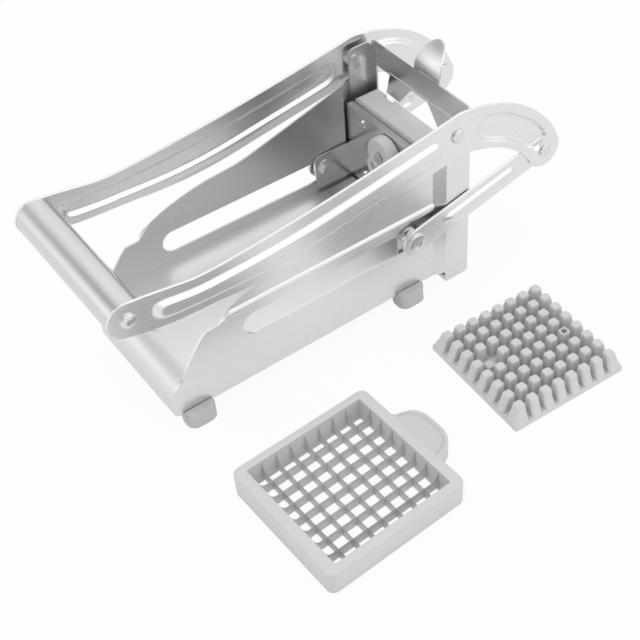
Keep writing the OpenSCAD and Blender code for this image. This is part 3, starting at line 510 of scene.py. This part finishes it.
# Heights of the lower edge, of the upper edge and of its ends at the walls
LONG_HEIGHTS, CROSS_HEIGHTS = (2.6, 8.8, 14.2), (2.2, 8.0, 13.6)


def blade_rings(low, mid, peak):
    """Blades along X, side by side in Y, with a bevelled upper edge. The edge stands at mid and
    rises to peak at both walls over BLADE_RUN, as (1 - d / BLADE_RUN)^2 of the distance d."""
    d = np.linspace(0, BLADE_RUN, 8)
    inner = BLADE_HALF - BLADE_RUN - 1.5
    xs = np.concatenate([-BLADE_HALF + d, np.linspace(-inner, inner, 9), BLADE_HALF - d[::-1]])
    away = BLADE_HALF - np.abs(xs)
    tops = mid + (peak - mid) * np.clip(1 - away / BLADE_RUN, 0, 1) ** 2
    y = np.array([-0.5, 0.5, 0.5, 0.0, -0.5]) * BLADE_T
    z = np.column_stack([0 * tops + low, 0 * tops + low, tops - BEVEL, tops, tops - BEVEL])
    blade = np.stack([0 * z + xs[:, None], 0 * z + y, z], -1)
    return [blade + (0, (i - CELLS / 2) * PITCH, 0) for i in range(1, CELLS)]


long_blades, cross_blades = Shells(), Shells()
for r in blade_rings(*LONG_HEIGHTS):
    long_blades.skin(turned(r, *LOOSE_FRAME))
for r in blade_rings(*CROSS_HEIGHTS):
    cross_blades.skin(turned(turned(r, 90, (0, 0, 0)), *LOOSE_FRAME))
long_blades.piece("spare_blades_long", "spare_frame", "blade_steel", BLADE_STEEL, ["loose_long_blades"])
cross_blades.piece("spare_blades_cross", "spare_frame", "blade_steel", BLADE_STEEL, ["loose_cross_blades"])


# Spare pusher block

# Turn in degrees and place of the spare block on the table
LOOSE_BLOCK = (-3.0, (-8.4, -112.2, 0.0))
PLATE, PLATE_T, PIN_TOP, LOW_PIN_TOP = 70.0, 3.0, 12.5, 6.5
PIN_HALF, PIN_CUT, PIN_ROOT, PIN_NARROWER_IN_Y = 2.95, 0.9, 0.3, 0.15
# Share of the height and half width of a pin, from its foot to the bevelled tip
PIN_TAPER = ((0, PIN_HALF), (0.2, 2.9), (0.45, 2.8), (0.7, 2.72), (0.93, 2.6), (1.0, 2.25))
# The one hollow and the one low pin of the photographed block, and the half widths of the bore
HOLLOW_PIN, LOW_PIN = (6, 3), (1, 4)
BORE_HALVES, BORE_CUT = (1.7, 1.5, 1.35), 0.6


def octagons(hx, hy, cut, cx, cy, z):
    """Rectangles with cut corners, eight points each, at the heights z."""
    x = np.stack([hx, hx, hx - cut, cut - hx, -hx, -hx, cut - hx, hx - cut])
    y = np.stack([cut - hy, hy - cut, hy, hy, hy - cut, cut - hy, -hy, -hy])
    return np.stack([cx + x, cy + y, 0 * x + z]).T


def pin_rings(i, j):
    """Pin i along X and j along Y of the block: full at the foot, tapered to the tip. On an outer
    row the outer face starts at the plate's edge and leans in as (1 - s)^1.5 with the height s."""
    middle = (CELLS - 1) / 2
    cx, cy = (i - middle) * PITCH, (j - middle) * PITCH
    ox = (i == CELLS - 1) - (i == 0)
    oy = (j == CELLS - 1) - (j == 0)
    top = LOW_PIN_TOP if (i, j) == LOW_PIN else PIN_TOP
    foot = PLATE_T - PIN_ROOT
    edge = PLATE / 2 - middle * PITCH - PIN_HALF
    s, half = np.array(PIN_TAPER).T
    lean = (1 - s) ** 1.5 * edge / 2
    rings = octagons(half + abs(ox) * lean, half - PIN_NARROWER_IN_Y + abs(oy) * lean, PIN_CUT,
                     cx + ox * lean, cy + oy * lean, foot + (top - foot) * s)
    if (i, j) == HOLLOW_PIN:
        bore = np.array(BORE_HALVES)
        heights = np.array([top, top - PIN_ROOT, PLATE_T])
        rings = np.concatenate([rings, octagons(bore, bore, BORE_CUT, cx, cy, heights)])
    return rings


block = Shells()
plate = square_loop(PLATE, PLATE, 1.0, 3)
layers = ((0.99, 0), (1, 0.4), (1, PLATE_T - 0.3), (0.994, PLATE_T))
block.skin(turned([[(x * s, y * s, z) for x, y in plate] for s, z in layers], *LOOSE_BLOCK))
for i in range(CELLS):
    for j in range(CELLS):
        block.skin(turned(pin_rings(i, j), *LOOSE_BLOCK))
block.piece("spare_block_body", "spare_block", "pale_plastic", PLASTIC, ["loose_pusher_block"], sharp=14.0)


# Feet

FOOT_LEN, FOOT_HALF, FOOT_TOP, FOOT_MID = 16.0, 6.8, 9.5, 38.3
FOOT_CORNER, CORNER_POWER, FOOT_ROUND, FOOT_SLOPE = 5.0, 0.999, 1.7, 0.9
SLIT_HALF, SLIT_LOW = 0.8, 7.9
FOOT_PLACES = (("front", -168.0), ("rear", -36.0))


def foot_rings(side, x0):
    """A slit rubber block on the lower edge of a wall. Its plan has corners of radius FOOT_CORNER:
    at the angle a along the foot its half width shrinks by FOOT_CORNER * (1 - sin a)^CORNER_POWER.
    Its sides lean in by FOOT_SLOPE and its upper edges are rounded by FOOT_ROUND."""
    a = np.radians(np.linspace(0, 180, 25))[:, None]
    from_end = FOOT_CORNER * (1 - np.abs(np.cos(a)))
    x = np.where(a < math.pi / 2, from_end, FOOT_LEN - from_end)
    f = FOOT_HALF - FOOT_CORNER * (1 - np.sin(a)) ** CORNER_POWER
    # Near its ends the block is too narrow for the rounded edge and for sides that lean in
    soft = np.radians((10, 35, 62, 88))
    rounded = f - FOOT_SLOPE - FOOT_ROUND * (1 - np.cos(soft))
    shoulder = np.where(f > 3.5, rounded, f * (1 - 0.05 * np.arange(len(soft))))
    slit = 0 * f + [SLIT_HALF, SLIT_HALF, -SLIT_HALF, -SLIT_HALF]
    y = np.hstack([0.6 - f, f - 0.6, f, shoulder, slit, -shoulder[:, ::-1], -f])
    high = FOOT_TOP - FOOT_ROUND * (1 - np.sin(soft))
    z = np.hstack([0.0, 0.0, 0.8, high, FOOT_TOP, SLIT_LOW, SLIT_LOW, FOOT_TOP, high[::-1], 0.8])
    return np.stack([0 * y + x0 + x, side * (FOOT_MID + y), 0 * y + z], -1)


for place, x0 in FOOT_PLACES:
    for side, word in SIDES:
        Shells().skin(foot_rings(side, x0)).piece(
            f"rubber_foot_{place}_{word}", "frame", "foot_rubber", FOOT_RUBBER, [f"foot_{place}_{word}"])


# Thumb turn

TURN_AT = (-16.4, 0.0, 67.805)


def revolved_x(profile, centre, n=48):
    """Rings about an axis along X: profile gives (x, radius), closed through the rings."""
    x, r = np.array(profile).T
    q = np.linspace(0, 2 * math.pi, n, endpoint=False)[:, None]
    return np.stack([x + 0 * q, r * np.cos(q), r * np.sin(q)], -1) + centre


# Sections of the disc and of the ring below it: distance along X from its centre, radius
disc = [(7.0, 2.6), (7.0, 9.8), (6.6, 10.3), (6.0, 10.5), (1.4, 10.5), (0.5, 10.1), (0.1, 9.2), (0.4, 7.6),
        (0.5, 5.0), (0.5, 2.6)]
LOBE_REACH, LOBE_TURN = 15.5, math.radians(32)
lobe = np.array(TURN_AT) + LOBE_REACH * np.array([0, math.sin(LOBE_TURN), -math.cos(LOBE_TURN)])
ring = [(7.0, 3.5), (7.0, 6.4), (6.4, 7.0), (3.8, 7.0), (3.0, 6.5), (2.8, 5.4), (3.0, 4.2), (3.6, 3.5)]
turn = Shells()
turn.skin(revolved_x(disc, TURN_AT), round_trip=True)
turn.skin(revolved_x(ring, lobe), round_trip=True)
turn.piece("thumb_turn_body", "turn", "pale_plastic", WHITE_PLASTIC, ["thumb_turn"])


# Thumb tab on the crossbar

BAR_X, BAR_LOW, BAR_TOP = 11.3, 94.6, 109.6
THUMB = {"y": -6.0, "half": 10.0, "tall": 17.5, "lean": 9.5, "bulge": 0.9, "sheet": 1.0}


def thumb_rings(n=24, rows=18):
    """Curved sheet on top of the crossbar: at height h it leans back by lean * (h / tall)^2 and
    bulges forward in the middle; its half width at h is half * sqrt(1 - (h / tall)^2.4)."""
    v = np.linspace(-1, 1, n)
    u = np.sin(np.linspace(0, math.pi / 2, rows))[:, None]
    w = THUMB["half"] * np.maximum(1 - u ** 2.4, 0.0006) ** 0.5
    bulge = THUMB["bulge"] * np.sin(math.pi * u ** 0.8) * (1 - v ** 2) * np.minimum(w / 6, 1)
    x = BAR_X + THUMB["lean"] * u ** 2 - bulge
    front = np.stack([x, THUMB["y"] + w * v, BAR_TOP + THUMB["tall"] * u + 0 * v], -1)
    rear = front + (THUMB["sheet"], 0, 0)
    return np.concatenate([front, rear[:, ::-1]], axis=1)


Shells().skin(thumb_rings()).piece("curved_thumb_tab", "frame", "satin_sheet", BAR_STEEL, ["thumb_tab"])


# Pressed rib of the deck and bend of the crossbar

DECK_Z = 30.5
DECK_RIB = {"front": -160.0, "rear": -11.5, "half": 4.2, "high": 1.15}
BEND = {"near": -37.0, "far": 26.0, "half": 0.8, "high": 0.5}
RIDGE_ROOT, RIDGE_LIFT = 0.3, 0.02


def ridge(start, stop, half_width, high, normal, across):
    """Low rounded ridge from start to stop, on a plane with this normal. Across it, at a share s
    of the half width, it stands high * (1 - smooth(2 |s| - 1)); its ends are half round."""
    start, stop, normal, across = (np.array(q, float) for q in (start, stop, normal, across))
    length = np.linalg.norm(stop - start)
    turn = np.linspace(0, math.pi / 2, 9)
    cap = half_width * (1 - np.cos(turn))
    shares = np.sin(turn).clip(0.03, 1)
    at = np.concatenate([cap, length - cap[::-1]])[:, None, None]
    k = np.concatenate([shares, shares[::-1]])[:, None, None]
    s = np.linspace(-1, 1, 25)[:, None]
    line = start + (stop - start) * at / length + s * half_width * k * across
    top = line + (high * k * (1 - smooth(2 * np.abs(s) - 1)) + RIDGE_LIFT) * normal
    return np.concatenate([top, (line - RIDGE_ROOT * normal)[:, ::-1]], axis=1)


rib = ridge((DECK_RIB["front"], 0, DECK_Z), (DECK_RIB["rear"], 0, DECK_Z), DECK_RIB["half"], DECK_RIB["high"],
            (0, 0, 1), (0, 1, 0))
Shells().skin(rib).piece("pressed_deck_rib", "frame", "satin_sheet", DECK_STEEL)
bend_z = BAR_LOW + BEND["half"]
bend = ridge((BAR_X, BEND["near"], bend_z), (BAR_X, BEND["far"], bend_z), BEND["half"], BEND["high"],
             (-1, 0, 0), (0, 0, 1))
Shells().skin(bend).piece("crossbar_lower_bend", "frame", "satin_sheet", BAR_STEEL)


# Floor, light and camera

# Soft boxes of the studio as the metal sees them: direction, sharpness, strength
SOFT_BOXES = [
    ((0.45, -0.85, 0.30), 6.0, 0.75),
    ((-0.80, 0.50, 0.30), 12.0, 0.6),
    ((0.40, 0.50, 0.75), 5.0, 0.25),
    ((-0.45, 0.55, 0.70), 16.0, -0.6),
    ((-0.75, -0.55, 0.35), 8.0, -0.35),
]
SKY = 0.86
# The paper shines like a light table: strength, its share in what other things see of it, and
# how much more of it the camera sees
PAPER_STRENGTH, PAPER_SHARE, PAPER_CAMERA_MORE = 0.997, 0.45, 0.48
FLOOR_HALF = 3.0


def studio():
    """Pale paper floor, near white to the camera, under a sky of soft boxes: each adds
    strength * max(0, direction . box)^sharpness. The camera itself sees the sky plain white."""
    half = FLOOR_HALF
    mesh = bpy.data.meshes.new("studio_floor")
    corners = [(-half, -half, 0), (half, -half, 0), (half, half, 0), (-half, half, 0)]
    mesh.from_pydata(corners, [], [(0, 1, 2, 3)])
    floor = bpy.data.objects.new("studio_floor", mesh)
    bpy.context.scene.collection.objects.link(floor)
    m = bpy.data.materials.new("studio_paper")
    m.use_nodes = True
    t = m.node_tree
    paper = t.nodes["Principled BSDF"]
    paper.inputs["Base Color"].default_value = srgb("e9e9e9")
    paper.inputs["Roughness"].default_value = 0.9
    paper.inputs["Specular IOR Level"].default_value = 0.0
    glow = {"Color": srgb("ffffff"), "Strength": PAPER_STRENGTH}
    lit = node(t, "ShaderNodeEmission", glow).outputs["Emission"]
    seen = node(t, "ShaderNodeLightPath").outputs["Is Camera Ray"]
    parts = {0: seen, 1: PAPER_CAMERA_MORE, 2: PAPER_SHARE}
    share = node(t, "ShaderNodeMath", parts, operation="MULTIPLY_ADD").outputs[0]
    both = node(t, "ShaderNodeMixShader", {0: share, 1: paper.outputs["BSDF"], 2: lit}).outputs[0]
    t.links.new(both, t.nodes["Material Output"].inputs["Surface"])
    mesh.materials.append(m)

    world = bpy.data.worlds.new("studio_world")
    bpy.context.scene.world = world
    world.use_nodes = True
    w = world.node_tree
    way = node(w, "ShaderNodeTexCoord").outputs["Generated"]
    total = SKY
    for box, sharp, strength in SOFT_BOXES:
        unit = np.array(box) / np.linalg.norm(box)
        facing = node(w, "ShaderNodeVectorMath", {0: way, 1: tuple(unit)}, operation="DOT_PRODUCT")
        dot = facing.outputs["Value"]
        front = node(w, "ShaderNodeMath", {0: dot, 1: 0.0}, operation="MAXIMUM").outputs[0]
        glow = node(w, "ShaderNodeMath", {0: front, 1: sharp}, operation="POWER").outputs[0]
        parts = {0: glow, 1: strength, 2: total}
        total = node(w, "ShaderNodeMath", parts, operation="MULTIPLY_ADD").outputs[0]
    seen = node(w, "ShaderNodeLightPath").outputs["Is Camera Ray"]
    bright = node(w, "ShaderNodeMix", {"Factor": seen, "A": total, "B": 1.0}).outputs["Result"]
    w.links.new(bright, w.nodes["Background"].inputs["Strength"])
    w.nodes["Background"].inputs["Color"].default_value = srgb("ffffff")


def lamp(name, at, aim, size, power):
    """Soft rectangular lamp at a place in metres, turned to a point, with its power in watts."""
    light = bpy.data.lights.new(name, "AREA")
    light.shape = "RECTANGLE"
    light.size, light.size_y = size
    light.energy = power
    o = bpy.data.objects.new(name, light)
    bpy.context.scene.collection.objects.link(o)
    o.location = at
    o.rotation_mode = "QUATERNION"
    o.rotation_quaternion = (Vector(aim) - Vector(at)).to_track_quat("-Z", "Y")


studio()
lamp("key_lamp", at=(-0.7, 0.2, 1.4), aim=(0, 0, 0.05), size=(0.5, 0.5), power=4.0)

PHOTO_PX, SENSOR_MM = 640, 36.0
# Fitted to the photograph: place in millimetres, angles in degrees, focal length and
# principal point in pixels
CAMERA = {
    "at": (-315.2, -414.0, 462.8),
    "azimuth": -38.19,
    "elevation": 45.45,
    "roll": -0.71,
    "focal_px": 1214.2,
    "middle_px": (420.5, 321.4),
}


def camera():
    """Camera at the fitted place, turned by azimuth and elevation and rolled about its axis."""
    data = bpy.data.cameras.new("photo_camera")
    o = bpy.data.objects.new("photo_camera", data)
    bpy.context.scene.collection.objects.link(o)
    a, e, r = (math.radians(CAMERA[k]) for k in ("azimuth", "elevation", "roll"))
    back = Vector((math.sin(a) * math.cos(e), -math.cos(a) * math.cos(e), math.sin(e)))
    right = Vector((math.cos(a), math.sin(a), 0))
    up = back.cross(right)
    rolled_right = right * math.cos(r) + up * math.sin(r)
    rolled_up = up * math.cos(r) - right * math.sin(r)
    turn = Matrix((rolled_right, rolled_up, back)).transposed().to_4x4()
    o.matrix_world = Matrix.Translation(Vector(to_frame(CAMERA["at"]))) @ turn
    data.sensor_width = SENSOR_MM
    data.lens = CAMERA["focal_px"] / PHOTO_PX * SENSOR_MM
    data.shift_x = 0.5 - CAMERA["middle_px"][0] / PHOTO_PX
    data.shift_y = CAMERA["middle_px"][1] / PHOTO_PX - 0.5
    data.clip_start, data.clip_end = 0.01, 20
    bpy.context.scene.camera = o


camera()
bpy.context.scene.view_settings.view_transform = "Standard"
